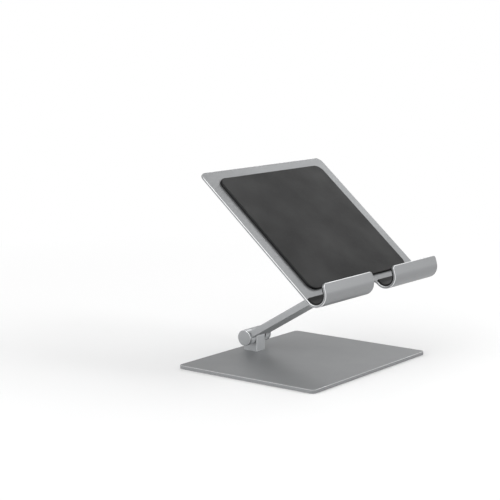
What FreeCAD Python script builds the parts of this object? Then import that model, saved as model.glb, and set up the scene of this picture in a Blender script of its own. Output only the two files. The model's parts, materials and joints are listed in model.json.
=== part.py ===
"""Folding desk stand for a tablet: a flat base, one friction-hinged arm and a tray with two hooks.

Frame: millimetres, +Z up, +X to the right, +Y to the back. The origin is the centre of the
underside, on the table. The hooks are at the front (-Y), and the lower hinge is at the back.
"""
import FreeCAD, Part
import math
import os

import Sketcher
from FreeCAD import Placement, Rotation, Vector

doc = FreeCAD.newDocument("tablet_stand")
sheet = doc.addObject("Spreadsheet::Sheet", "Sizes")

SIZES = [
    # Base
    ("base_width", 170.0, "base, side to side"),
    ("base_depth", 138.0, "base, front to back"),
    ("base_thick", 3.0, "steel plate"),
    ("base_corner", 3.8, "corner radius"),
    ("base_edge", 0.4, "chamfer round the top"),
    ("mat_thick", 1.0, "anti-slip mat"),
    ("mat_proud", 0.3, "how far the mat stands below the plate"),
    ("mat_border", 6.0, "bare plate round the mat"),
    ("mat_gap", 0.2, "between the mat and the recess wall"),
    ("mat_corner", 3.0, "mat corners"),
    # Hinge posts
    ("post_width", 12.0, "post and tongue, along the hinge axis"),
    ("knuckle_radius", 7.0, "post top, tongue, arm ends and caps"),
    ("lower_axis_y", 53.3, "lower hinge axis, behind the centre"),
    ("lower_axis_z", 15.9, "lower hinge axis, above the table"),
    ("post_screw_offset", 3.7, "post screws, each side of the axis"),
    ("post_tap_depth", 7.6, "threaded holes up into the post"),
    ("soft_edge", 0.4, "broken edges of the machined parts"),
    # Arm
    ("arm_width", 26.0, "arm, along the hinge axis"),
    ("arm_thick", 5.8, "arm bar"),
    ("arm_span", 113.2, "axis to axis"),
    ("arm_rise", 31.0, "arm above level, degrees"),
    ("knuckle_blend", 3.0, "blend from the bar to the round ends"),
    ("fork_gap", 14.4, "between the two cheeks of a fork"),
    ("fork_root", 9.0, "axis to the bottom of the fork"),
    # Hinge hardware
    ("pin_radius", 2.5, "shoulder screw shank"),
    ("pin_clearance", 0.05, "running clearance, on the radius"),
    ("bush_radius", 4.0, "bush, outside"),
    ("thread_radius", 2.0, "pin thread"),
    ("pocket_radius", 5.3, "counterbore under a cap"),
    ("head_pocket", 3.6, "counterbore depth at the screw head"),
    ("nut_pocket", 4.6, "counterbore depth at the nut"),
    ("head_radius", 4.0, "screw head"),
    ("head_thick", 2.2, "screw head"),
    ("pin_socket", 2.5, "pin's hexagon socket across flats"),
    ("thread_proud", 0.3, "pin beyond the nut"),
    ("nut_flats", 7.0, "lock nut across flats"),
    ("nut_thick", 2.6, "lock nut"),
    ("spring_thick", 0.4, "disc spring sheet"),
    ("spring_height", 0.6, "disc spring, overall"),
    ("spring_radius", 4.7, "disc spring, outside"),
    ("spring_clearance", 0.15, "disc spring hole round the shank"),
    ("disc_thick", 0.9, "friction disc"),
    ("disc_radius", 6.5, "friction disc, outside"),
    ("disc_hole", 2.9, "friction disc, hole radius"),
    ("cap_thick", 2.0, "end cap"),
    ("cap_edge", 1.0, "chamfer round the cap"),
    ("spigot_depth", 1.1, "cap ring inside the counterbore"),
    ("spigot_wall", 0.8, "cap ring wall"),
    # Tray
    ("tray_width", 170.0, "tray, side to side"),
    ("tray_thick", 2.0, "bent sheet"),
    ("tray_rise", 40.63, "tray above level, degrees"),
    ("tray_stand_off", 10.0, "upper axis to the sheet's back"),
    ("bend_drop", 16.1, "upper axis down to where the hook bend starts"),
    ("tray_reach", 126.8, "upper axis up to the sheet's top edge"),
    ("bend_radius", 9.4, "hook bend, middle of the sheet"),
    ("bend_turn", 147.0, "hook bend, degrees"),
    ("lip_length", 7.0, "straight lip after the bend"),
    ("tray_corner", 6.0, "top corners"),
    ("lip_corner", 3.0, "lip corners"),
    ("gap_width", 32.0, "cable gap between the hooks"),
    ("gap_drop", 13.1, "upper axis down to the gap's top"),
    ("gap_corner", 2.5, "cable gap corners"),
    ("sheet_edge", 0.3, "broken edges of the sheet"),
    # Bracket
    ("flange_width", 28.0, "bracket flange"),
    ("flange_thick", 2.5, "bracket flange"),
    ("flange_low", 8.0, "upper axis down to the flange's bottom"),
    ("flange_high", 20.0, "upper axis up to the flange's top"),
    ("flange_corner", 3.0, "flange corners"),
    ("tray_screw_x", 10.0, "tray screws, each side of the middle"),
    ("tray_screw_low", 4.0, "tray screws, below the upper axis"),
    ("tray_screw_high", 16.0, "tray screws, above the upper axis"),
    # Countersunk screws
    ("screw_radius", 1.5, "M3 shank"),
    ("screw_head", 3.0, "M3 countersunk head radius"),
    ("screw_socket", 2.0, "hexagon socket across flats"),
    ("socket_depth", 1.1, "hexagon socket"),
    ("post_screw_length", 9.4, "head face to tip"),
    ("tray_screw_length", 4.3, "head face to tip"),
    # Soft parts
    ("pad_width", 144.0, "back pad"),
    ("pad_low", 7.0, "upper axis down to the pad's bottom"),
    ("pad_high", 117.0, "upper axis up to the pad's top"),
    ("pad_thick", 2.0, "back pad"),
    ("pad_corner", 8.0, "back pad corners"),
    ("liner_thick", 1.5, "hook liner"),
    ("liner_inset", 0.8, "liner inside each end of its hook"),
    ("liner_rise", 3.0, "liner above the bend, up the sheet"),
    ("liner_lip", 5.8, "liner along the lip"),
]


def fill_sheet():
    """Write every driving size to the spreadsheet under its own name."""
    for row, (alias, number, meaning) in enumerate(SIZES, start=1):
        sheet.set(f"A{row}", meaning)
        sheet.set(f"B{row}", str(number))
        sheet.setAlias(f"B{row}", alias)
    doc.recompute()


def named(expression):
    """Turn each [size] in an expression into a reference to the spreadsheet."""
    return expression.replace("[", "Sizes.").replace("]", "")


def value(expression):
    """The number that an expression of sizes stands for."""
    result = sheet.evalExpression(named(expression))
    return float(getattr(result, "Value", result))


def bind(thing, **expressions):
    """Bind properties of an object to expressions of sizes."""
    for name, expression in expressions.items():
        thing.setExpression(name, named(expression))


def bind_place(thing, x="0", y="0", z="0", turn="0"):
    """Bind an object's position, and its turn about X in degrees."""
    thing.Placement = Placement(Vector(), Rotation(X_AXIS, 1))
    bind(thing, **{"Placement.Base.x": x, "Placement.Base.y": y, "Placement.Base.z": z})
    bind(thing, **{"Placement.Rotation.Angle": turn})


# Sketches


def new_body(label):
    """An empty body under the name of its sub-part."""
    body = doc.addObject("PartDesign::Body", label)
    body.Label = label
    return body


def new_sketch(body, plane, name, offset="0"):
    """A sketch on one of the body's own origin planes, moved along that plane's normal."""
    sketch = body.newObject("Sketcher::SketchObject", name)
    support = [part for part in body.Origin.OriginFeatures if part.Role == plane][0]
    sketch.AttachmentSupport = [(support, "")]
    sketch.MapMode = "FlatFace"
    bind(sketch, **{"AttachmentOffset.Base.z": offset})
    return sketch


def constrain(sketch, kind, *where, to):
    """Add one driving constraint and bind it to an expression of sizes."""
    index = sketch.addConstraint(Sketcher.Constraint(kind, *where, value(to)))
    sketch.setExpression(f"Constraints[{index}]", named(to))


def place_point(sketch, geometry, point, across, up):
    """Bind both coordinates of one point of a sketch."""
    constrain(sketch, "DistanceX", -1, 1, geometry, point, to=across)
    constrain(sketch, "DistanceY", -1, 1, geometry, point, to=up)


def polygon(sketch, corners):
    """A closed outline of straight lines. Each corner is a pair of expressions."""
    points = [Vector(value(across), value(up)) for across, up in corners]
    first = sketch.GeometryCount
    count = len(points)
    for index in range(count):
        sketch.addGeometry(Part.LineSegment(points[index], points[(index + 1) % count]))
    for index, (across, up) in enumerate(corners):
        following = first + (index + 1) % count
        sketch.addConstraint(Sketcher.Constraint("Coincident", first + index, 2, following, 1))
        place_point(sketch, first + index, 1, across, up)


def rectangle(sketch, left, right, bottom, top):
    """An upright rectangle between four bound sides."""
    polygon(sketch, [(left, bottom), (right, bottom), (right, top), (left, top)])


def hexagon(sketch, flats):
    """A hexagon about the sketch's origin, by its size across flats."""
    corner = f"({flats}) / sqrt(3)"
    polygon(sketch, [(f"{corner} * cos({60 * index} * 1 deg)", f"{corner} * sin({60 * index} * 1 deg)")
                     for index in range(6)])


def circle(sketch, across, up, radius):
    """A circle with a bound centre and radius."""
    centre = Vector(value(across), value(up))
    index = sketch.addGeometry(Part.Circle(centre, Z_AXIS, value(radius)))
    constrain(sketch, "Radius", index, to=radius)
    place_point(sketch, index, 3, across, up)


def hook_path(sketch, start, across, radius, lip):
    """The way a strip runs: down the tray, round the hook bend and up the lip.

    The first line starts at the height start. The bend begins bend_drop below the upper axis.
    """
    low = "0 - [bend_drop]"
    turned = "([bend_turn] * 1 deg)"
    arc_end = (f"{across} - ({radius}) * (1 - cos{turned})", f"{low} - ({radius}) * sin{turned}")
    tip = (f"{arc_end[0]} - ({lip}) * sin{turned}", f"{arc_end[1]} - ({lip}) * cos{turned}")
    route = [Vector(value(a), value(b)) for a, b in ((across, start), (across, low), arc_end, tip)]
    bend = Part.Circle(Vector(route[1].x - value(radius), route[1].y), Z_AXIS, value(radius))
    down = sketch.addGeometry(Part.LineSegment(route[0], route[1]))
    arc = sketch.addGeometry(Part.ArcOfCircle(bend, -math.radians(value("[bend_turn]")), 0))
    rise = sketch.addGeometry(Part.LineSegment(route[2], route[3]))
    sketch.addConstraint(Sketcher.Constraint("Coincident", down, 2, arc, 2))
    sketch.addConstraint(Sketcher.Constraint("Coincident", rise, 1, arc, 1))
    place_point(sketch, down, 1, across, start)
    place_point(sketch, down, 2, across, low)
    place_point(sketch, rise, 1, *arc_end)
    place_point(sketch, rise, 2, *tip)
    constrain(sketch, "Radius", arc, to=radius)


# Features


def pad(body, sketch, length, symmetric=False, flip=False):
    """Pad a sketch by a bound length."""
    feature = body.newObject("PartDesign::Pad", f"{sketch.Name}_pad")
    feature.Profile = sketch
    feature.SideType = "Symmetric" if symmetric else "One side"
    feature.Reversed = flip
    bind(feature, Length=length)
    doc.recompute()


def revolve(body, sketch):
    """Turn a sketch all the way round the X axis."""
    feature = body.newObject("PartDesign::Revolution", f"{sketch.Name}_turned")
    feature.Profile = sketch
    feature.ReferenceAxis = (sketch, ["H_Axis"])
    feature.Angle = 360
    doc.recompute()


def pipe(body, profile, path):
    """Sweep a profile along a path."""
    feature = body.newObject("PartDesign::AdditivePipe", f"{profile.Name}_pipe")
    feature.Profile = profile
    feature.Spine = (path, [f"Edge{number}" for number in range(1, path.GeometryCount + 1)])
    doc.recompute()


def must_cut(body, feature, before):
    """Stop if a cutting feature removed no material."""
    doc.recompute()
    if body.Shape.Volume > before - 1e-3:
        raise RuntimeError(f"{feature.Name} cut nothing")


def pocket(body, sketch, length, symmetric=False, flip=False):
    """Pocket a sketch by a bound length. It cuts against the sketch's normal unless flipped."""
    before = body.Shape.Volume
    feature = body.newObject("PartDesign::Pocket", f"{sketch.Name}_cut")
    feature.Profile = sketch
    feature.SideType = "Symmetric" if symmetric else "One side"
    feature.Reversed = flip
    bind(feature, Length=length)
    must_cut(body, feature, before)


def countersink(body, sketch, flip=False):
    """Countersunk clearance holes for M3 screws, right through."""
    doc.recompute()
    before = body.Shape.Volume
    hole = body.newObject("PartDesign::Hole", f"{sketch.Name}_sunk")
    hole.Profile = sketch
    hole.ThreadType = "None"
    hole.DepthType = "ThroughAll"
    hole.HoleCutType = "Countersink"
    hole.HoleCutCountersinkAngle = 90
    hole.Reversed = flip
    bind(hole, Diameter="[screw_radius] * 2", HoleCutDiameter="[screw_head] * 2")
    must_cut(body, hole, before)


def dress(body, kind, size, picked):
    """Fillet or chamfer those edges of the body's tip that a test picks."""
    tip = body.Tip
    names = [f"Edge{number}" for number, edge in enumerate(tip.Shape.Edges, start=1) if picked(edge)]
    if not names:
        raise RuntimeError(f"{body.Label} has no edge to {kind.lower()}")
    feature = body.newObject(f"PartDesign::{kind}", f"{body.Label}_{kind.lower()}")
    feature.Base = (tip, names)
    bind(feature, **{"Radius" if kind == "Fillet" else "Size": size})
    doc.recompute()


def middle(edge):
    """The point halfway along an edge."""
    return edge.valueAt((edge.FirstParameter + edge.LastParameter) / 2)


def near(number, expression):
    """Whether a coordinate is where an expression of sizes puts it."""
    return abs(number - value(expression)) < NEAR


def runs_along(edge, axis):
    """Whether an edge is straight and parallel to an axis."""
    if edge.Curve.TypeId != "Part::GeomLine":
        return False
    return abs(edge.Curve.Direction.dot(axis)) > 1 - NEAR


def is_sharp(body, edge):
    """Whether two faces of a body's tip meet square at an edge."""
    faces = body.Tip.Shape.ancestorsOfType(edge, Part.Face)
    if len(faces) != 2:
        return False
    point = middle(edge)
    normals = [face.normalAt(*face.Surface.parameter(point)) for face in faces]
    return abs(normals[0].dot(normals[1])) < 0.1


NEAR = 1e-3
X_AXIS = Vector(1, 0, 0)
Y_AXIS = Vector(0, 1, 0)
Z_AXIS = Vector(0, 0, 1)

# Where the two hinge axes are, and how the parts on them are turned about X.
LOWER_HINGE = {"y": "[lower_axis_y]", "z": "[lower_axis_z]"}
UPPER_HINGE = {
    "y": "[lower_axis_y] - [arm_span] * cos([arm_rise] * 1 deg)",
    "z": "[lower_axis_z] + [arm_span] * sin([arm_rise] * 1 deg)",
}
HINGES = {"lower": LOWER_HINGE, "upper": UPPER_HINGE}
ARM_TURN = "0 - [arm_rise]"
TRAY_TURN = "[tray_rise] - 90"
SIDES = {"left": "(0 - 1)", "right": "1"}


# Base


def make_base_plate():
    """Rounded steel plate, with a shallow recess below for the mat."""
    body = new_body("base_plate")
    outline = new_sketch(body, "XY_Plane", "base_outline")
    rectangle(outline, "0 - [base_width] / 2", "[base_width] / 2", "0 - [base_depth] / 2", "[base_depth] / 2")
    pad(body, outline, "[base_thick]")
    dress(body, "Fillet", "[base_corner]", lambda edge: runs_along(edge, Z_AXIS))
    dress(body, "Chamfer", "[base_edge]", lambda edge: near(edge.BoundBox.ZMin, "[base_thick]"))
    recess = new_sketch(body, "XY_Plane", "mat_recess")
    rectangle(recess, "[mat_border] - [base_width] / 2", "[base_width] / 2 - [mat_border]",
              "[mat_border] - [base_depth] / 2", "[base_depth] / 2 - [mat_border]")
    pocket(body, recess, "[mat_thick] - [mat_proud]", flip=True)
    holes = new_sketch(body, "XY_Plane", "base_holes", offset="[mat_thick] - [mat_proud]")
    for sign in "-+":
        circle(holes, "0", f"[lower_axis_y] {sign} [post_screw_offset]", "[screw_radius]")
    countersink(body, holes, flip=True)
    bind_place(body, z="[mat_proud]")


def make_anti_slip_mat():
    """Silicone sheet glued into the recess. It is what stands on the table."""
    body = new_body("anti_slip_mat")
    outline = new_sketch(body, "XY_Plane", "mat_outline")
    half_width = "([base_width] / 2 - [mat_border] - [mat_gap])"
    half_depth = "([base_depth] / 2 - [mat_border] - [mat_gap])"
    rectangle(outline, f"0 - {half_width}", half_width, f"0 - {half_depth}", half_depth)
    pad(body, outline, "[mat_thick]")
    dress(body, "Fillet", "[mat_corner]", lambda edge: runs_along(edge, Z_AXIS))
    bind_place(body)


def make_hinge_post():
    """Block with a round top, screwed to the base from below. Local origin: the lower axis."""
    foot = "[mat_proud] + [base_thick] - [lower_axis_z]"
    body = new_body("hinge_post")
    side = new_sketch(body, "YZ_Plane", "post_side")
    rectangle(side, "0 - [knuckle_radius]", "[knuckle_radius]", foot, "0")
    pad(body, side, "[post_width]", symmetric=True)
    top = new_sketch(body, "YZ_Plane", "post_top")
    circle(top, "0", "0", "[knuckle_radius]")
    pad(body, top, "[post_width]", symmetric=True)
    dress(body, "Chamfer", "[soft_edge]", lambda edge: near(abs(middle(edge).x), "[post_width] / 2")
          and not near(middle(edge).z, foot))
    bore = new_sketch(body, "YZ_Plane", "post_bore")
    circle(bore, "0", "0", "[bush_radius]")
    pocket(body, bore, "[post_width] * 2", symmetric=True)
    taps = new_sketch(body, "XY_Plane", "post_taps", offset=foot)
    for sign in "-+":
        circle(taps, "0", f"0 {sign} [post_screw_offset]", "[screw_radius]")
    pocket(body, taps, "[post_tap_depth]", flip=True)
    bind_place(body, **LOWER_HINGE)


# Arm


def make_arm_link():
    """Flat bar with a fork at each end. Local origin: the lower axis. It lies along -Y."""
    body = new_body("arm_link")
    bar = new_sketch(body, "YZ_Plane", "arm_bar")
    rectangle(bar, "0 - [arm_span]", "0", "0 - [arm_thick] / 2", "[arm_thick] / 2")
    pad(body, bar, "[arm_width]", symmetric=True)
    ends = new_sketch(body, "YZ_Plane", "arm_ends")
    for place in FORKS:
        circle(ends, place, "0", "[knuckle_radius]")
    pad(body, ends, "[arm_width]", symmetric=True)
    meet = "sqrt([knuckle_radius] * [knuckle_radius] - [arm_thick] * [arm_thick] / 4)"

    def at_blend(edge):
        """Whether an edge is where the bar runs into a round end."""
        point = middle(edge)
        at_end = near(point.y, f"0 - {meet}") or near(point.y, f"{meet} - [arm_span]")
        return runs_along(edge, X_AXIS) and at_end and near(abs(point.z), "[arm_thick] / 2")

    dress(body, "Fillet", "[knuckle_blend]", at_blend)
    dress(body, "Chamfer", "[soft_edge]", lambda edge: near(abs(middle(edge).x), "[arm_width] / 2"))
    forks = new_sketch(body, "XY_Plane", "arm_forks")
    half_gap = "[fork_gap] / 2"
    rectangle(forks, f"0 - {half_gap}", half_gap, "0 - [fork_root]", "[knuckle_radius] * 2")
    rectangle(forks, f"0 - {half_gap}", half_gap,
              "0 - [arm_span] - [knuckle_radius] * 2", "[fork_root] - [arm_span]")
    pocket(body, forks, "[knuckle_radius] * 3", symmetric=True)
    holes = new_sketch(body, "YZ_Plane", "arm_pin_holes")
    for place in FORKS:
        circle(holes, place, "0", "[pin_radius] + [pin_clearance]")
    pocket(body, holes, "[arm_width] * 2", symmetric=True)
    for side, depth in (("left", "[head_pocket]"), ("right", "[nut_pocket]")):
        seats = new_sketch(body, "YZ_Plane", f"arm_{side}_seats", offset=f"{SIDES[side]} * [arm_width] / 2")
        for place in FORKS:
            circle(seats, place, "0", "[pocket_radius]")
        pocket(body, seats, depth, flip=side == "left")
    bind_place(body, turn=ARM_TURN, **LOWER_HINGE)


FORKS = ("0", "0 - [arm_span]")


# Hinge hardware. Each piece is turned about the local X axis, which is its hinge axis.


def turned_body(label, outline):
    """A round piece from its half outline: pairs of (place along the axis, radius)."""
    body = new_body(label)
    half = new_sketch(body, "XY_Plane", f"{label}_outline")
    polygon(half, outline)
    revolve(body, half)
    return body


def group(label, pieces):
    """Several separate solids under one name."""
    compound = doc.addObject("Part::Compound", label)
    compound.Links = pieces
    return compound


HEAD_SEAT = "([head_pocket] - [arm_width] / 2)"
NUT_POCKET_FLOOR = "([arm_width] / 2 - [nut_pocket])"
NUT_SEAT = f"({NUT_POCKET_FLOOR} + [spring_height] * 2)"


def make_pin(hinge, place):
    """Shoulder screw: socket head at the left, plain shank, thread at the right."""
    head_face = f"{HEAD_SEAT} - [head_thick]"
    tip = f"{NUT_SEAT} + [nut_thick] + [thread_proud]"
    body = turned_body(f"{hinge}_pin", [
        (head_face, "0"), (head_face, "[head_radius]"), (HEAD_SEAT, "[head_radius]"),
        (HEAD_SEAT, "[pin_radius]"), (NUT_SEAT, "[pin_radius]"), (NUT_SEAT, "[thread_radius]"),
        (tip, "[thread_radius]"), (tip, "0"),
    ])
    socket = new_sketch(body, "YZ_Plane", f"{hinge}_pin_socket", offset=head_face)
    hexagon(socket, "[pin_socket]")
    pocket(body, socket, "[socket_depth]", flip=True)
    bind_place(body, turn=ARM_TURN, **place)


def make_lock_nut(hinge, place):
    """Thin hexagon nut that sets the friction."""
    body = new_body(f"{hinge}_lock_nut")
    outline = new_sketch(body, "YZ_Plane", f"{hinge}_nut_outline", offset=NUT_SEAT)
    hexagon(outline, "[nut_flats]")
    circle(outline, "0", "0", "[thread_radius]")
    pad(body, outline, "[nut_thick]")
    bind_place(body, turn=ARM_TURN, **place)


def make_disc_springs(hinge, place):
    """Two coned spring washers under the nut, rim to rim."""
    springs = []
    hole = "([pin_radius] + [spring_clearance])"
    for name, start, sense in (("first", NUT_POCKET_FLOOR, "+"), ("second", NUT_SEAT, "-")):
        dish = "([spring_height] - [spring_thick])"
        springs.append(turned_body(f"{hinge}_{name}_spring", [
            (start, hole), (f"{start} {sense} {dish}", "[spring_radius]"),
            (f"{start} {sense} [spring_height]", "[spring_radius]"),
            (f"{start} {sense} [spring_thick]", hole),
        ]))
    bind_place(group(f"{hinge}_disc_springs", springs), turn=ARM_TURN, **place)


def make_friction_discs(hinge, place, turn):
    """One flat ring against each side of the post or tongue."""
    discs = []
    for side, sign in SIDES.items():
        inner = f"{sign} * [post_width] / 2"
        outer = f"{sign} * ([post_width] / 2 + [disc_thick])"
        discs.append(turned_body(f"{hinge}_{side}_disc", [
            (inner, "[disc_hole]"), (outer, "[disc_hole]"),
            (outer, "[disc_radius]"), (inner, "[disc_radius]"),
        ]))
    bind_place(group(f"{hinge}_friction_discs", discs), turn=turn, **place)


def make_bush(hinge, place, turn):
    """Plain bush pressed into the post or tongue. The pin turns in it."""
    hole = "[pin_radius] + [pin_clearance]"
    end = "[post_width] / 2"
    bush = turned_body(f"{hinge}_bush", [
        (f"0 - {end}", hole), (end, hole), (end, "[bush_radius]"), (f"0 - {end}", "[bush_radius]"),
    ])
    bind_place(bush, turn=turn, **place)


def make_cap(hinge, side, place):
    """Round cover with a chamfered rim, and a ring that presses into the counterbore."""
    sign = SIDES[side]
    seat = f"{sign} * [arm_width] / 2"
    face = f"{sign} * ([arm_width] / 2 + [cap_thick])"
    ring = f"{sign} * ([arm_width] / 2 - [spigot_depth])"
    bore = "[pocket_radius] - [spigot_wall]"
    cap = turned_body(f"{hinge}_cap_{side}", [
        (face, "0"), (face, "[knuckle_radius] - [cap_edge]"),
        (f"{face} - {sign} * [cap_edge]", "[knuckle_radius]"), (seat, "[knuckle_radius]"),
        (seat, "[pocket_radius]"), (ring, "[pocket_radius]"), (ring, bore), (seat, bore), (seat, "0"),
    ])
    bind_place(cap, turn=ARM_TURN, **place)


# Tray. Local origin: the upper axis. +Z runs up the sheet and +Y points out of its back.


SHEET_BACK = "(0 - [tray_stand_off])"
SHEET_FRONT = "(0 - [tray_stand_off] - [tray_thick])"


def make_tray_plate():
    """Sheet bent into two hooks at the bottom, with a cable gap between them."""
    body = new_body("tray_plate")
    path = new_sketch(body, "YZ_Plane", "tray_path")
    hook_path(path, "[tray_reach]", f"({SHEET_BACK} - [tray_thick] / 2)", "[bend_radius]", "[lip_length]")
    section = new_sketch(body, "XY_Plane", "tray_section", offset="[tray_reach]")
    rectangle(section, "0 - [tray_width] / 2", "[tray_width] / 2", SHEET_FRONT, SHEET_BACK)
    pipe(body, section, path)
    gap = new_sketch(body, "XZ_Plane", "cable_gap")
    rectangle(gap, "0 - [gap_width] / 2", "[gap_width] / 2",
              "0 - [bend_drop] - [bend_radius] * 2", "0 - [gap_drop]")
    pocket(body, gap, "[bend_radius] * 10", symmetric=True)
    turned = "([bend_turn] * 1 deg)"
    lip_top = f"0 - [bend_drop] - [bend_radius] * sin{turned} - [lip_length] * cos{turned}"
    for radius, height in (("[tray_corner]", "[tray_reach]"), ("[gap_corner]", "0 - [gap_drop]"),
                           ("[lip_corner]", lip_top)):
        dress(body, "Fillet", radius, lambda edge: edge.Curve.TypeId == "Part::GeomLine"
              and near(edge.Length, "[tray_thick]") and near(middle(edge).z, height))
    dress(body, "Chamfer", "[sheet_edge]", lambda edge: is_sharp(body, edge))
    holes = new_sketch(body, "XZ_Plane", "tray_holes", offset="[tray_stand_off] + [tray_thick]")
    for sign in "-+":
        for height in TRAY_SCREW_HEIGHTS:
            circle(holes, f"0 {sign} [tray_screw_x]", height, "[screw_radius]")
    countersink(body, holes)
    bind_place(body, turn=TRAY_TURN, **UPPER_HINGE)


TRAY_SCREW_HEIGHTS = ("0 - [tray_screw_low]", "[tray_screw_high]")


def make_tray_bracket():
    """Flange screwed to the back of the sheet, with the tongue of the upper hinge."""
    body = new_body("tray_bracket")
    flange = new_sketch(body, "XZ_Plane", "flange_outline", offset="[tray_stand_off]")
    rectangle(flange, "0 - [flange_width] / 2", "[flange_width] / 2", "0 - [flange_low]", "[flange_high]")
    pad(body, flange, "[flange_thick]", flip=True)
    dress(body, "Fillet", "[flange_corner]", lambda edge: runs_along(edge, Y_AXIS))
    web = new_sketch(body, "YZ_Plane", "tongue_web")
    rectangle(web, "[flange_thick] / 2 - [tray_stand_off]", "0", "0 - [knuckle_radius]", "[knuckle_radius]")
    pad(body, web, "[post_width]", symmetric=True)
    end = new_sketch(body, "YZ_Plane", "tongue_end")
    circle(end, "0", "0", "[knuckle_radius]")
    pad(body, end, "[post_width]", symmetric=True)
    bore = new_sketch(body, "YZ_Plane", "tongue_bore")
    circle(bore, "0", "0", "[bush_radius]")
    pocket(body, bore, "[post_width] * 2", symmetric=True)
    taps = new_sketch(body, "XZ_Plane", "flange_taps", offset="[tray_stand_off]")
    for sign in "-+":
        for height in TRAY_SCREW_HEIGHTS:
            circle(taps, f"0 {sign} [tray_screw_x]", height, "[screw_radius]")
    pocket(body, taps, "[flange_thick]")
    bind_place(body, turn=TRAY_TURN, **UPPER_HINGE)


def make_back_pad():
    """Silicone sheet on the front of the tray, over the screw heads."""
    body = new_body("back_pad")
    outline = new_sketch(body, "XZ_Plane", "pad_outline", offset="[tray_stand_off] + [tray_thick]")
    rectangle(outline, "0 - [pad_width] / 2", "[pad_width] / 2", "0 - [pad_low]", "[pad_high]")
    pad(body, outline, "[pad_thick]")
    dress(body, "Fillet", "[pad_corner]", lambda edge: runs_along(edge, Y_AXIS))
    bind_place(body, turn=TRAY_TURN, **UPPER_HINGE)


def make_hook_liner(side):
    """Silicone strip that lines the inside of one hook."""
    sign = SIDES[side]
    body = new_body(f"hook_liner_{side}")
    path = new_sketch(body, "YZ_Plane", f"liner_{side}_path")
    hook_path(path, "[liner_rise] - [bend_drop]", f"({SHEET_FRONT} - [liner_thick] / 2)",
              "([bend_radius] - [tray_thick] / 2 - [liner_thick] / 2)", "[liner_lip]")
    section = new_sketch(body, "XY_Plane", f"liner_{side}_section", offset="[liner_rise] - [bend_drop]")
    ends = [f"{sign} * ([gap_width] / 2 + [liner_inset])", f"{sign} * ([tray_width] / 2 - [liner_inset])"]
    ends.sort(key=value)
    rectangle(section, *ends, f"{SHEET_FRONT} - [liner_thick]", SHEET_FRONT)
    pipe(body, section, path)
    bind_place(body, turn=TRAY_TURN, **UPPER_HINGE)


# Countersunk screws. Local origin: the middle of the head's face. The shank runs along +X.


def make_screw(name, length):
    """One M3 countersunk screw with a hexagon socket."""
    body = turned_body(name, [
        ("0", "0"), ("0", "[screw_head]"), ("[screw_head] - [screw_radius]", "[screw_radius]"),
        (length, "[screw_radius]"), (length, "0"),
    ])
    socket = new_sketch(body, "YZ_Plane", f"{name}_socket")
    hexagon(socket, "[screw_socket]")
    pocket(body, socket, "[socket_depth]", flip=True)
    return body


def make_post_screws():
    """Two screws up through the base into the post."""
    screws = []
    for name, sign in (("front", "-"), ("rear", "+")):
        screw = make_screw(f"post_screw_{name}", "[post_screw_length]")
        screw.Placement = Placement(Vector(), Rotation(Y_AXIS, -90))
        bind(screw, **{"Placement.Base.y": f"[lower_axis_y] {sign} [post_screw_offset]",
                       "Placement.Base.z": "[mat_thick]"})
        screws.append(screw)
    group("post_screws", screws)


def make_tray_screws():
    """Four screws through the sheet into the bracket."""
    screws = []
    for sign in "-+":
        for height in TRAY_SCREW_HEIGHTS:
            screw = make_screw(f"tray_screw_{len(screws) + 1}", "[tray_screw_length]")
            screw.Placement = Placement(Vector(), Rotation(Z_AXIS, 90))
            bind(screw, **{"Placement.Base.x": f"0 {sign} [tray_screw_x]",
                           "Placement.Base.y": SHEET_FRONT, "Placement.Base.z": height})
            screws.append(screw)
    bind_place(group("tray_screws", screws), turn=TRAY_TURN, **UPPER_HINGE)


def build():
    """Make every sub-part."""
    fill_sheet()
    make_base_plate()
    make_anti_slip_mat()
    make_hinge_post()
    make_post_screws()
    make_arm_link()
    for hinge, place in HINGES.items():
        holder_turn = "0" if hinge == "lower" else TRAY_TURN
        make_pin(hinge, place)
        make_lock_nut(hinge, place)
        make_disc_springs(hinge, place)
        make_friction_discs(hinge, place, holder_turn)
        make_bush(hinge, place, holder_turn)
        for side in SIDES:
            make_cap(hinge, side, place)
    make_tray_plate()
    make_tray_bracket()
    make_tray_screws()
    make_back_pad()
    for side in SIDES:
        make_hook_liner(side)
    doc.recompute()


def subparts():
    """Every finished piece: the bodies and groups that no group holds."""
    solids = [thing for thing in doc.Objects if thing.TypeId in ("PartDesign::Body", "Part::Compound")]
    held = {piece.Name for thing in solids if thing.TypeId == "Part::Compound" for piece in thing.Links}
    return [thing for thing in solids if thing.Name not in held]


def check():
    """Stop if any object failed, or any sub-part has no valid shape."""
    for thing in doc.Objects:
        if {"Invalid", "Error"} & set(thing.State):
            raise RuntimeError(f"{thing.Name} failed: {thing.State}")
    for thing in subparts():
        if thing.Shape.isNull() or not thing.Shape.isValid() or not thing.Shape.Solids:
            raise RuntimeError(f"{thing.Label} has no valid shape")


def export():
    """Write each sub-part to its own file."""
    os.makedirs("parts", exist_ok=True)
    for thing in subparts():
        thing.Shape.exportStep(f"parts/{thing.Label}.step")
        print(f"{thing.Label}: {len(thing.Shape.Solids)} solid(s), {thing.Shape.Volume:.1f} mm3")


build()
check()
export()
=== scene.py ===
import json
import math

import bpy
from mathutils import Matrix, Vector
from mathutils.geometry import delaunay_2d_cdt


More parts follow.
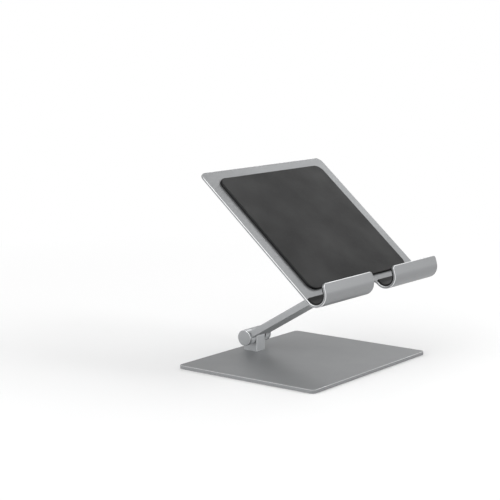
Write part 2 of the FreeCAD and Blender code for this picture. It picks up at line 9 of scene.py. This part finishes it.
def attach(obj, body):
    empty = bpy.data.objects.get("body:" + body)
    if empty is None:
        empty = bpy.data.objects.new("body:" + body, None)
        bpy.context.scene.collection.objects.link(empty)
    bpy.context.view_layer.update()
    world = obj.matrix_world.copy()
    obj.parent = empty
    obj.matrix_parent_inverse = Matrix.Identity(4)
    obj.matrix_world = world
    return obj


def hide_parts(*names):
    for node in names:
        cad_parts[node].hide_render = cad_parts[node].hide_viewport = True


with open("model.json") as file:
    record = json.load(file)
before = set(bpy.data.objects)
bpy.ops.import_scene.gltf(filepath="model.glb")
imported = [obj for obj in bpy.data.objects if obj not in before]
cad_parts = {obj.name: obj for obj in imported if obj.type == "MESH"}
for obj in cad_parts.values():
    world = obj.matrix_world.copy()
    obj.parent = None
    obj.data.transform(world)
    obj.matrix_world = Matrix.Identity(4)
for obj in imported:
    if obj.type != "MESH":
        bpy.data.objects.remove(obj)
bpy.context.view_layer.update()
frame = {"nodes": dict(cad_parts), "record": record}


# Sizes in millimetres, for what more than one piece needs. Each hinge axis is given as y and z.

MM = 0.001
HINGES = {"lower": (53.3, 15.9), "upper": (-43.731, 74.202)}
KNUCKLE_RADIUS = 7.0
SCREW_RADIUS = 1.6
COUNTERSINK = 1.5
SHEET_FACE = 1.0

# Materials

# Colour level of the painted light on the arm's knuckle barrels.
PAINTED_KNUCKLE_LIGHT_LEVEL = 0.56


class Nodes:
    """The node tree of a material or of the surroundings, with short calls for the nodes used here."""

    def __init__(self, owner, shader="Principled BSDF", place="Object"):
        owner.use_nodes = True
        self.owner = owner
        self.tree = owner.node_tree
        self.shader = self.tree.nodes[shader]
        self.place = self.tree.nodes.new("ShaderNodeTexCoord").outputs[place]

    def add(self, kind, **inputs):
        """A node with its inputs set to values or linked to sockets."""
        node = self.tree.nodes.new(kind)
        for name, value in inputs.items():
            self.feed(node.inputs[name.replace("_", " ")], value)
        return node

    def feed(self, socket, value):
        """Link a socket, or set its own value."""
        if isinstance(value, bpy.types.NodeSocket):
            self.tree.links.new(value, socket)
        else:
            socket.default_value = value

    def scaled(self, scale):
        """Object coordinates stretched by a scale for each axis."""
        return self.add("ShaderNodeMapping", Vector=self.place, Scale=scale).outputs["Vector"]

    def noise(self, scale, detail=3.0, roughness=0.5, vector=None):
        """Noise from 0 to 1, with its scale in waves per metre."""
        node = self.add("ShaderNodeTexNoise", Vector=vector or self.place, Scale=scale,
                        Detail=detail, Roughness=roughness)
        return node.outputs["Fac"]

    def spread(self, value, low, high, start=0.0, end=1.0):
        """Map a value between start and end onto low to high."""
        node = self.add("ShaderNodeMapRange", Value=value, From_Min=start, From_Max=end,
                        To_Min=low, To_Max=high)
        return node.outputs["Result"]

    def math(self, operation, first, second):
        """One arithmetic step."""
        node = self.add("ShaderNodeMath")
        node.operation = operation
        self.feed(node.inputs[0], first)
        self.feed(node.inputs[1], second)
        return node.outputs["Value"]

    def vector_math(self, operation, first, second=None):
        """One step of vector arithmetic, as its node."""
        node = self.add("ShaderNodeVectorMath")
        node.operation = operation
        self.feed(node.inputs[0], first)
        if second is not None:
            self.feed(node.inputs[1], second)
        return node

    def mix(self, amount, first, second):
        """Blend two colours."""
        node = self.add("ShaderNodeMix")
        node.data_type = "RGBA"
        self.feed(node.inputs["Factor"], amount)
        self.feed(node.inputs["A"], first)
        self.feed(node.inputs["B"], second)
        return node.outputs["Result"]

    def bump(self, height, depth, normal=None):
        """A bump of the given depth in metres."""
        node = self.add("ShaderNodeBump", Height=height, Distance=depth, Strength=1.0)
        if normal is not None:
            self.feed(node.inputs["Normal"], normal)
        return node.outputs["Normal"]

    def edge(self, radius, low=0.02, high=0.25):
        """1 on the sharp edges of the mesh and 0 on its faces."""
        bevel = self.add("ShaderNodeBevel", Radius=radius)
        bevel.samples = 6
        face = self.add("ShaderNodeNewGeometry").outputs["Normal"]
        node = self.vector_math("DOT_PRODUCT", bevel.outputs["Normal"], face)
        turned = self.math("SUBTRACT", 1.0, node.outputs["Value"])
        return self.spread(turned, 0.0, 1.0, low, high)


    def round_end(self, axis, radius):
        """1 on the round surface about a hinge axis given as y and z, and 0 elsewhere."""
        away = self.vector_math("SUBTRACT", self.place, (0.0, *axis)).outputs["Vector"]
        across = self.vector_math("MULTIPLY", away, (0.0, 1.0, 1.0)).outputs["Vector"]
        distance = self.vector_math("LENGTH", across).outputs["Value"]
        near = self.spread(distance, 1.0, 0.0, radius + 0.0001, radius + 0.0009)
        normal = self.add("ShaderNodeNewGeometry").outputs["Normal"]
        sideways = self.add("ShaderNodeSeparateXYZ", Vector=normal).outputs["X"]
        turned = self.spread(self.math("MULTIPLY", sideways, sideways), 1.0, 0.0, 0.2, 0.8)
        return self.math("MULTIPLY", near, turned)


def grey(level, warmth=0.0):
    """A neutral colour, slightly cool or warm."""
    return (level * (1 + warmth), level, level * (1 - warmth), 1.0)


def satin_metal(name, level, roughness, metallic=1.0, grain=0.000006, round_ends=()):
    """Blasted metal with a satin finish: fine pits, faint clouding, handled patches, and edges polished
    smoother with a painted highlight that lightens them almost to white.

    Its round ends, given by their hinge axes, are painted lighter, as painted light on the knuckle barrels.
    """
    nodes = Nodes(bpy.data.materials.new(name))
    clouds = nodes.noise(11.0, detail=4.0)
    patches = nodes.noise(38.0, detail=6.0, roughness=0.62)
    pits = nodes.noise(2400.0, detail=3.0)
    grit = nodes.noise(5200.0, detail=1.0)
    # The rubbed attribute and the edge mask pick the edges for their smoother polish and their painted
    # highlight.
    rubbed = nodes.add("ShaderNodeAttribute")
    rubbed.attribute_name = "rubbed"
    edges = nodes.math("MAXIMUM", nodes.edge(0.0006), rubbed.outputs["Fac"])
    edge_polish_and_highlight = nodes.math("MULTIPLY", edges, nodes.spread(patches, 0.7, 1.0, 0.35, 0.65))
    shade = nodes.spread(clouds, 0.0, 1.0, 0.3, 0.7)
    body = nodes.mix(shade, grey(level * 0.975, -0.024), grey(level * 1.025, -0.018))
    specks = nodes.mix(nodes.spread(pits, 0.0, 1.0, 0.3, 0.7), grey(level * 0.9, -0.022), body)
    # Painted light: the knuckle barrels round the hinge axes are painted lighter.
    for y, z in round_ends:
        end = nodes.round_end((y * MM, z * MM), KNUCKLE_RADIUS * MM)
        painted_knuckle_light = nodes.math("MULTIPLY", end, nodes.spread(pits, 0.85, 1.0, 0.3, 0.7))
        specks = nodes.mix(painted_knuckle_light, specks, grey(PAINTED_KNUCKLE_LIGHT_LEVEL, -0.02))
    # Painted highlight: the edges are painted almost white, patchy with handling.
    colour = nodes.mix(nodes.math("MULTIPLY", edge_polish_and_highlight, 0.85), specks, grey(0.9, -0.01))
    nodes.feed(nodes.shader.inputs["Base Color"], colour)
    nodes.feed(nodes.shader.inputs["Metallic"], metallic)
    rough = nodes.spread(patches, roughness - 0.02, roughness + 0.025, 0.3, 0.7)
    polish = nodes.math("MULTIPLY", edge_polish_and_highlight, 0.12)
    nodes.feed(nodes.shader.inputs["Roughness"], nodes.math("SUBTRACT", rough, polish))
    nodes.feed(nodes.shader.inputs["Normal"], nodes.bump(grit, grain / 3, nodes.bump(pits, grain)))
    return nodes.owner


def silicone(name, level):
    """Moulded black silicone: matt, faintly dusty, with a fine moulded texture and polished spots."""
    nodes = Nodes(bpy.data.materials.new(name))
    texture = nodes.noise(1500.0, detail=4.0)
    dust = nodes.noise(420.0, detail=8.0, roughness=0.7)
    rubbed = nodes.noise(24.0, detail=4.0)
    dusty = nodes.spread(dust, 0.0, 0.5, 0.5, 0.8)
    amount = nodes.math("MULTIPLY", dusty, nodes.spread(rubbed, 0.3, 1.0, 0.4, 0.6))
    colour = nodes.mix(amount, grey(level, -0.03), grey(level * 3.0, 0.01))
    nodes.feed(nodes.shader.inputs["Base Color"], colour)
    nodes.feed(nodes.shader.inputs["Roughness"], nodes.spread(rubbed, 0.5, 0.62, 0.35, 0.65))
    nodes.feed(nodes.shader.inputs["Specular IOR Level"], 0.3)
    nodes.feed(nodes.shader.inputs["Normal"], nodes.bump(texture, 0.00003))
    return nodes.owner


def turned_steel(name, level, roughness):
    """Turned steel of pins, nuts and screws, with fine tool rings round the hinge axis."""
    nodes = Nodes(bpy.data.materials.new(name))
    rings = nodes.noise(1400.0, detail=2.0, vector=nodes.scaled((1.0, 0.02, 0.02)))
    colour = nodes.mix(nodes.noise(220.0), grey(level * 0.85, -0.01), grey(level * 1.1))
    nodes.feed(nodes.shader.inputs["Base Color"], colour)
    nodes.feed(nodes.shader.inputs["Metallic"], 1.0)
    nodes.feed(nodes.shader.inputs["Roughness"], nodes.spread(rings, roughness - 0.06, roughness + 0.08))
    nodes.feed(nodes.shader.inputs["Normal"], nodes.bump(rings, 0.00001))
    return nodes.owner


def moulded_plastic(name, level):
    """Dark bearing plastic."""
    nodes = Nodes(bpy.data.materials.new(name))
    texture = nodes.noise(900.0, detail=3.0)
    colour = nodes.mix(texture, grey(level * 0.8), grey(level * 1.3))
    nodes.feed(nodes.shader.inputs["Base Color"], colour)
    nodes.feed(nodes.shader.inputs["Roughness"], nodes.spread(texture, 0.42, 0.6))
    nodes.feed(nodes.shader.inputs["Normal"], nodes.bump(texture, 0.00001))
    return nodes.owner


BASE_METAL = satin_metal("base_silver", 0.245, 0.46, metallic=0.38)
ARM_METAL = satin_metal("arm_silver", 0.37, 0.40, metallic=0.75,
                        round_ends=HINGES.values())
TRAY_METAL = satin_metal("tray_silver", 0.265, 0.38, metallic=0.8)
# The post's metal is a lighter copy of the arm's, painted light on the post's faces.
POST_METAL = satin_metal("post_silver", 0.43, 0.40, metallic=0.75)
CAP_METAL = satin_metal("cap_silver", 0.37, 0.36, metallic=0.75)
SILICONE = silicone("black_silicone", 0.005)
STEEL = turned_steel("turned_steel", 0.5, 0.3)
SPRING_STEEL = turned_steel("spring_steel", 0.3, 0.35)
PLASTIC = moulded_plastic("bearing_plastic", 0.03)

MATERIALS = {
    "base_steel": BASE_METAL,
    "arm_aluminium": ARM_METAL,
    "tray_aluminium": TRAY_METAL,
    "cap_metal": CAP_METAL,
    "silicone": SILICONE,
    "hinge_steel": STEEL,
    "spring_steel": SPRING_STEEL,
    "bearing_plastic": PLASTIC,
}


# Meshes


def rounded(corners, steps=10):
    """An outline through corners given as x, y and radius, as points with their outward normals."""
    outline = []
    for place, (x, y, radius) in enumerate(corners):
        corner = Vector((x, y))
        before = (corner - Vector(corners[place - 1][:2])).normalized()
        after = (Vector(corners[(place + 1) % len(corners)][:2]) - corner).normalized()
        turn = before.cross(after)
        side = 1 if turn > 0 else -1
        angle = math.atan2(abs(turn), before.dot(after))
        start = corner - before * radius * math.tan(angle / 2)
        inward = Vector((-before.y, before.x)) * side
        centre = start + inward * radius
        for step in range(steps + 1):
            swing = angle * step / steps
            spoke = -inward * math.cos(swing) + before * math.sin(swing)
            spot = centre + spoke * radius
            outline.append((spot.x, spot.y, spoke.x * side, spoke.y * side))
    return outline


def rounded_box(left, right, low, high, radius, steps=10):
    """The outline of a rectangle with rounded corners."""
    corners = [(left, low), (right, low), (right, high), (left, high)]
    return rounded([(x, y, radius) for x, y in corners], steps)


def ring(x, y, radius, steps=32):
    """A round hole, as an outline that runs clockwise, with normals towards its middle."""
    turns = [-2 * math.pi * step / steps for step in range(steps)]
    return [(x + radius * math.cos(turn), y + radius * math.sin(turn), -math.cos(turn), -math.sin(turn))
            for turn in turns]


def reversed_outline(outline):
    """The outline of an opening: it runs the other way, with normals into the opening."""
    return [(x, y, -nx, -ny) for x, y, nx, ny in reversed(outline)]


def crossed(outline, lines):
    """The outline with a point added wherever it crosses a line of constant y."""
    result = []
    for place, here in enumerate(outline):
        after = outline[(place + 1) % len(outline)]
        result.append(here)
        low, high = sorted((here[1], after[1]))
        inside = [line for line in lines if low + 1e-4 < line < high - 1e-4]
        for line in sorted(inside, reverse=here[1] > after[1]):
            share = (line - here[1]) / (after[1] - here[1])
            x, y, nx, ny = (a + (b - a) * share for a, b in zip(here, after))
            result.append((x, line, nx, ny))
    return result


def round_over(low, high, low_radius, high_radius, steps=4):
    """A wall's profile with rounded bottom and top edges: inset, height and tilt."""
    turns = [90 * step / steps for step in range(steps + 1)]
    bottom = [(low_radius * (1 - math.cos(math.radians(turn))),
               low + low_radius * (1 - math.sin(math.radians(turn))), -turn) for turn in reversed(turns)]
    top = [(high_radius * (1 - math.cos(math.radians(turn))),
            high - high_radius * (1 - math.sin(math.radians(turn))), turn) for turn in turns]
    return bottom + top


def within(spot, loops):
    """Whether a point is inside the outlines and outside their holes."""
    inside = False
    for loop in loops:
        for a, b in zip(loop, loop[1:] + loop[:1]):
            if (a.y > spot.y) != (b.y > spot.y):
                crossing = a.x + (spot.y - a.y) * (b.x - a.x) / (b.y - a.y)
                inside = inside != (spot.x < crossing)
    return inside


class Shell:
    """A closed mesh with its own smooth normals, drawn in millimetres in a placed frame."""

    def __init__(self, place):
        self.place = place
        self.points = []
        self.normals = []
        self.rubbed = []
        self.faces = []
        self.known = {}

    def point(self, spot, facing, rubbed=0.0):
        """The number of a vertex at a spot, facing a direction; equal ones are shared."""
        position, (along, across, out) = self.place(*spot)
        normal = (along * facing[0] + across * facing[1] + out * facing[2]).normalized()
        key = tuple(round(value, 4) + 0.0 for value in (*position, *normal))
        if key not in self.known:
            self.known[key] = len(self.points)
            self.points.append(position * MM)
            self.normals.append(normal)
            self.rubbed.append(rubbed)
        return self.known[key]

    def face(self, corners):
        """One face, without its repeated corners."""
        kept = [corner for place, corner in enumerate(corners) if corner != corners[place - 1]]
        if len(kept) > 2:
            self.faces.append(kept)

    def rim(self, outline, profile):
        """The wall round an outline. The profile gives inset, height and tilt from bottom to top."""
        rings = []
        for inset, height, tilt in profile:
            level, rise = math.cos(math.radians(tilt)), math.sin(math.radians(tilt))
            # Vertices on the rounded edges are marked rubbed: they get a smoother polish and a painted
            # highlight.
            rubbed = 1.0 if 20 < abs(tilt) < 70 else 0.0
            rings.append([
                self.point((x - inset * nx, y - inset * ny, height), (nx * level, ny * level, rise), rubbed)
                for x, y, nx, ny in outline])
        for low, high in zip(rings, rings[1:]):
            for here in range(len(outline)):
                after = (here + 1) % len(outline)
                self.face([low[here], low[after], high[after], high[here]])

    def cap(self, loops, height, facing, lines=()):
        """The face inside some outlines, each given with its inset. It bends along the lines."""
        spots, edges, rings = [], [], []
        for outline, inset in loops:
            start, count = len(spots), len(outline)
            rings.append([Vector((x - inset * nx, y - inset * ny)) for x, y, nx, ny in outline])
            spots += rings[-1]
            edges += [(start + here, start + (here + 1) % count) for here in range(count)]
        for line in lines:
            crossings = sorted({round(spot.x, 4) for spot in spots if abs(spot.y - line) < 1e-3})
            for left, right in zip(crossings, crossings[1:]):
                if within(Vector(((left + right) / 2, line + 1e-3)), rings):
                    edges.append((len(spots), len(spots) + 1))
                    spots += [Vector((left, line)), Vector((right, line))]
        flat = delaunay_2d_cdt(spots, edges, [], 1, 1e-3)
        numbers = [self.point((spot.x, spot.y, height), (0, 0, facing)) for spot in flat[0]]
        for corners in flat[2]:
            middle = sum((flat[0][corner] for corner in corners), Vector((0, 0))) / 3
            if within(middle, rings):
                a, b, c = (flat[0][corner] for corner in corners)
                clockwise = (b - a).cross(c - a) < 0
                ordered = [numbers[corner] for corner in corners]
                self.face(ordered[::-1] if clockwise != (facing < 0) else ordered)

    def finish(self, name, body, nodes, slot):
        """The mesh as a piece that stands for CAD nodes."""
        mesh = bpy.data.meshes.new(name)
        mesh.from_pydata(self.points, [], self.faces)
        mesh.shade_smooth()
        mesh.normals_split_custom_set_from_vertices(self.normals)
        # The rubbed attribute carries the painted edge highlight and the edge polish to the metal.
        mesh.attributes.new("rubbed", "FLOAT", "POINT").data.foreach_set("value", self.rubbed)
        mesh.materials.append(MATERIALS[slot])
        piece = bpy.data.objects.new(name, mesh)
        bpy.context.collection.objects.link(piece)
        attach(piece, body)
        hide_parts(*nodes)
        return piece


def upright(x, y, z):
    """A place on the base, in the object's own directions."""
    return Vector((x, y, z)), (Vector((1, 0, 0)), Vector((0, 1, 0)), Vector((0, 0, 1)))


TRAY_RISE = math.radians(40.63)
UP_TRAY = Vector((0, math.cos(TRAY_RISE), math.sin(TRAY_RISE)))
BEHIND_TRAY = Vector((0, math.sin(TRAY_RISE), -math.cos(TRAY_RISE)))
ACROSS = Vector((1, 0, 0))
UPPER_AXIS = Vector((0, *HINGES["upper"]))
BEND_RADIUS = 9.4
BEND_TURN = math.radians(147)
BEND_LENGTH = BEND_RADIUS * BEND_TURN
BEND_DROP = 16.1
SHEET_OFFSET = 11.0


def on_sheet(x, along, out):
    """A place on the bent sheet: along it from the start of the bend, and out from its middle."""
    turn = min(max(-along / BEND_RADIUS, 0.0), BEND_TURN)
    straight = along if along > 0 else min(along + BEND_LENGTH, 0.0)
    spoke = BEHIND_TRAY * math.cos(turn) - UP_TRAY * math.sin(turn)
    along_sheet = BEHIND_TRAY * math.sin(turn) + UP_TRAY * math.cos(turn)
    centre = UPPER_AXIS - UP_TRAY * BEND_DROP - BEHIND_TRAY * (SHEET_OFFSET + BEND_RADIUS)
    position = centre + spoke * (BEND_RADIUS - out) + along_sheet * straight + ACROSS * x
    return position, (ACROSS, along_sheet, -spoke)


BENDS = [-BEND_LENGTH * step / 28 for step in range(29)]


def make_tray():
    """The bent sheet: plate, two hooks and the cable gap between them."""
    side, top, lip = 85.0, 142.9, -(BEND_LENGTH + 7.0)
    gap, gap_top = 16.0, 3.0
    soft_edge = 0.5
    outline = crossed(rounded([
        (-side, lip, 3.0), (-gap, lip, 3.0), (-gap, gap_top, 2.5), (gap, gap_top, 2.5),
        (gap, lip, 3.0), (side, lip, 3.0), (side, top, 6.0), (-side, top, 6.0)]), BENDS)
    holes = [ring(x, BEND_DROP + z, SCREW_RADIUS) for x in (-10.0, 10.0) for z in (-4.0, 16.0)]
    tray = Shell(on_sheet)
    tray.rim(outline, round_over(-SHEET_FACE, SHEET_FACE, soft_edge, soft_edge))
    for hole in holes:
        sink = SHEET_FACE - COUNTERSINK
        tray.rim(hole, [(0.0, -SHEET_FACE, 0), (0.0, sink, 0)])
        tray.rim(hole, [(0.0, sink, 45), (COUNTERSINK, SHEET_FACE, 45)])
    back = [(outline, soft_edge)] + [(hole, 0.0) for hole in holes]
    front = [(outline, soft_edge)] + [(hole, COUNTERSINK) for hole in holes]
    tray.cap(back, -SHEET_FACE, -1, BENDS)
    tray.cap(front, SHEET_FACE, 1, BENDS)
    tray.finish("tray_sheet", "tray", ["tray_plate"], "tray_aluminium")


def make_back_pad():
    """The silicone pad on the front of the plate."""
    outline = rounded_box(-72, 72, 9.1, 133.1, 8, 16)
    face, glued_edge, soft_edge = 3.0, 0.1, 0.8
    pad = Shell(on_sheet)
    pad.rim(outline, round_over(SHEET_FACE, face, glued_edge, soft_edge))
    pad.cap([(outline, glued_edge)], SHEET_FACE, -1)
    pad.cap([(outline, soft_edge)], face, 1)
    pad.finish("back_rest_pad", "tray", ["back_pad"], "silicone")


def make_liner(side, left, right):
    """The silicone strip inside one hook."""
    low, high = -(BEND_LENGTH + 5.8), 3.0
    face, glued_edge, soft_edge = 2.5, 0.1, 0.4
    outline = crossed(rounded_box(left, right, low, high, 1.0, 4), BENDS)
    liner = Shell(on_sheet)
    liner.rim(outline, round_over(SHEET_FACE, face, glued_edge, soft_edge))
    liner.cap([(outline, glued_edge)], SHEET_FACE, -1, BENDS)
    liner.cap([(outline, soft_edge)], face, 1, BENDS)
    liner.finish(f"hook_strip_{side}", "tray", [f"hook_liner_{side}"], "silicone")


def make_base():
    """The steel plate, with the mat's recess and the post's screw holes."""
    under, recess_top, top = 0.3, 1.0, 3.3
    low_edge, top_edge = 0.25, 0.4
    sink = recess_top + COUNTERSINK
    outline = rounded_box(-85, 85, -69, 69, 3.8, 14)
    recess = reversed_outline(rounded_box(-79, 79, -63, 63, 3.2))
    holes = [ring(0.0, HINGES["lower"][0] + step, SCREW_RADIUS) for step in (-3.7, 3.7)]
    base = Shell(upright)
    base.rim(outline, round_over(under, top, low_edge, top_edge, 5))
    base.cap([(outline, top_edge)] + [(hole, 0.0) for hole in holes], top, 1)
    base.cap([(outline, low_edge), (recess, 0.0)], under, -1)
    base.rim(recess, [(0.0, under, 0), (0.0, recess_top, 0)])
    base.cap([(reversed_outline(recess), 0.0)] + [(hole, COUNTERSINK) for hole in holes], recess_top, -1)
    for hole in holes:
        base.rim(hole, [(COUNTERSINK, recess_top, -45), (0.0, sink, -45)])
        base.rim(hole, [(0.0, sink, 0), (0.0, top, 0)])
    base.finish("base_slab", "base", ["base_plate"], "base_steel")


def make_mat():
    """The anti-slip mat under the base."""
    outline = rounded_box(-78.8, 78.8, -62.8, 62.8, 3)
    top, low_edge, top_edge = 1.0, 0.25, 0.05
    mat = Shell(upright)
    mat.rim(outline, round_over(0.0, top, low_edge, top_edge))
    mat.cap([(outline, low_edge)], 0.0, -1)
    mat.cap([(outline, top_edge)], top, 1)
    mat.finish("foot_mat", "base", ["anti_slip_mat"], "silicone")


def make_cap(hinge, side):
    """A turned end cap: a disc with a rounded edge and a short ring behind it."""
    sign = -1 if side == "left" else 1
    axis_y, axis_z = HINGES[hinge]
    ring_end, arm_face, cap_face = 11.9, 13.0, 15.0
    arm_edge, soft_edge = 0.1, 0.6

    def sideways(u, v, out):
        """A place on the hinge's end, out along its axis."""
        spot = Vector((sign * out, axis_y + u * sign, axis_z + v))
        return spot, (Vector((0, sign, 0)), Vector((0, 0, 1)), Vector((sign, 0, 0)))

    disc = reversed_outline(ring(0.0, 0.0, KNUCKLE_RADIUS, 72))
    spigot = reversed_outline(ring(0.0, 0.0, 5.25, 72))
    bore = ring(0.0, 0.0, 4.5, 72)
    cap = Shell(sideways)
    cap.rim(disc, round_over(arm_face, cap_face, arm_edge, soft_edge, 6))
    cap.cap([(disc, soft_edge)], cap_face, 1)
    cap.cap([(disc, arm_edge), (reversed_outline(spigot), 0.0)], arm_face, -1)
    cap.rim(spigot, [(0.0, ring_end, 0), (0.0, arm_face, 0)])
    cap.cap([(spigot, 0.0), (bore, 0.0)], ring_end, -1)
    cap.rim(bore, [(0.0, ring_end, 0), (0.0, arm_face, 0)])
    cap.cap([(reversed_outline(bore), 0.0)], arm_face, -1)
    cap.finish(f"{hinge}_end_cap_{side}", "arm", [f"{hinge}_cap_{side}"], "cap_metal")


def dress_cad():
    """Give every CAD node the material of its slot, and the post a lighter copy of the satin metal, painted
    light on its faces.
    """
    for part in frame["record"]["subparts"]:
        node = frame["nodes"][part["node"]]
        for slot in node.material_slots:
            slot.material = MATERIALS[part["material_slot"]]
    frame["nodes"]["hinge_post"].material_slots[0].material = POST_METAL


# Stage


def make_floor():
    """A pale studio floor that fades into the white surroundings."""
    reach = 12.0
    mesh = bpy.data.meshes.new("floor")
    mesh.from_pydata([(-reach, -reach, 0), (reach, -reach, 0), (reach, reach, 0), (-reach, reach, 0)],
                     [], [(0, 1, 2, 3)])
    floor = bpy.data.objects.new("floor", mesh)
    bpy.context.collection.objects.link(floor)
    nodes = Nodes(bpy.data.materials.new("floor_paper"))
    tone = nodes.noise(3.0, detail=2.0)
    nodes.feed(nodes.shader.inputs["Base Color"], nodes.mix(tone, grey(0.95), grey(0.97)))
    nodes.feed(nodes.shader.inputs["Roughness"], 0.9)
    nodes.feed(nodes.shader.inputs["Specular IOR Level"], 0.1)
    distance = nodes.vector_math("LENGTH", nodes.place).outputs["Value"]
    far = nodes.spread(distance, 0.0, 1.0, 0.22, 0.75)
    glow = nodes.add("ShaderNodeEmission", Color=grey(1.0), Strength=1.0)
    blend = nodes.add("ShaderNodeMixShader", Fac=far)
    nodes.tree.links.new(nodes.shader.outputs["BSDF"], blend.inputs[1])
    nodes.tree.links.new(glow.outputs["Emission"], blend.inputs[2])
    nodes.tree.links.new(blend.outputs["Shader"], nodes.tree.nodes["Material Output"].inputs["Surface"])
    mesh.materials.append(nodes.owner)


def make_light(name, place, size, watts, aim=(0, 0, 0.05)):
    """A softbox at a place, turned towards a point, which is the middle of the object if not given."""
    data = bpy.data.lights.new(name, "AREA")
    data.shape = "RECTANGLE"
    data.size, data.size_y = size
    data.energy = watts
    light = bpy.data.objects.new(name, data)
    light.location = place
    light.rotation_euler = (Vector(aim) - Vector(place)).to_track_quat("-Z", "Y").to_euler()
    bpy.context.collection.objects.link(light)
    return light


def make_hinge_light(place, aim, size, watts):
    """A small low light from the front that reaches only the arm and the post."""
    light = make_light("hinge", place, size, watts, aim)
    lit = bpy.data.collections.new("lit_hinge")
    for name in ("hinge_post", "arm_link"):
        lit.objects.link(frame["nodes"][name])
    light.light_linking.receiver_collection = lit


def make_world(sides):
    """White surroundings at floor level, with each side above it as bright as given."""
    nodes = Nodes(bpy.data.worlds.new("studio"), "Background", "Generated")
    height = nodes.add("ShaderNodeSeparateXYZ", Vector=nodes.place).outputs["Z"]
    above = nodes.spread(height, 0.0, 1.0, 0.02, 0.25)
    total = nodes.math("SUBTRACT", 1.0, above)
    for direction, level in sides:
        towards = nodes.vector_math("DOT_PRODUCT", nodes.place, Vector(direction).normalized())
        lobe = nodes.math("POWER", nodes.math("MAXIMUM", towards.outputs["Value"], 0.0), 2.0)
        share = nodes.math("MULTIPLY", nodes.math("MULTIPLY", lobe, above), level)
        total = nodes.math("ADD", total, share)
    nodes.feed(nodes.shader.inputs["Color"], grey(1.0))
    nodes.feed(nodes.shader.inputs["Strength"], total)
    bpy.context.scene.world = nodes.owner


def make_camera():
    """A long lens, low and to the left of the front, looking slightly down."""
    turn = math.radians(52.70)
    drop = math.radians(9.157)
    look = Vector((math.sin(turn) * math.cos(drop), math.cos(turn) * math.cos(drop), -math.sin(drop)))
    data = bpy.data.cameras.new("camera")
    data.lens = 102.64
    data.sensor_width = 36.0
    camera = bpy.data.objects.new("camera", data)
    camera.location = (-0.97351, -0.68333, 0.28813)
    camera.rotation_euler = look.to_track_quat("-Z", "Y").to_euler()
    bpy.context.collection.objects.link(camera)
    bpy.context.scene.camera = camera


dress_cad()
make_tray()
make_back_pad()
make_liner("left", -84.2, -16.8)
make_liner("right", 16.8, 84.2)
make_base()
make_mat()
for hinge in HINGES:
    make_cap(hinge, "left")
    make_cap(hinge, "right")
make_floor()
make_world([
    ((1, 0, 0.3), 0.85),
    ((-1, 0, 0.3), 1.6),
    ((0, 1, 0.3), 0.45),
    ((0, -1, 0.3), 0.4),
    ((0, 0, 1), 0.1),
])
make_light("key", (0.45, -1.70, 1.10), (0.6, 0.6), 7.5)
make_light("front_right", (1.25, -1.40, 1.05), (0.9, 0.9), 7.0)
make_light("front_low", (1.20, -1.30, 0.35), (0.9, 0.5), 1.2)
make_light("rim", (1.55, 0.60, 1.05), (0.4, 0.4), 1.8)
make_light("high", (1.57, -0.10, 1.20), (0.5, 0.5), 1.6)
make_light("left", (-1.79, 0.4, 0.85), (1.5, 1.5), 14.0)
make_hinge_light((-0.30, -1.05, 0.25), (0, 0.046, 0.014), (0.4, 0.2), 12.0)
make_camera()
bpy.context.scene.view_settings.view_transform = "Standard"
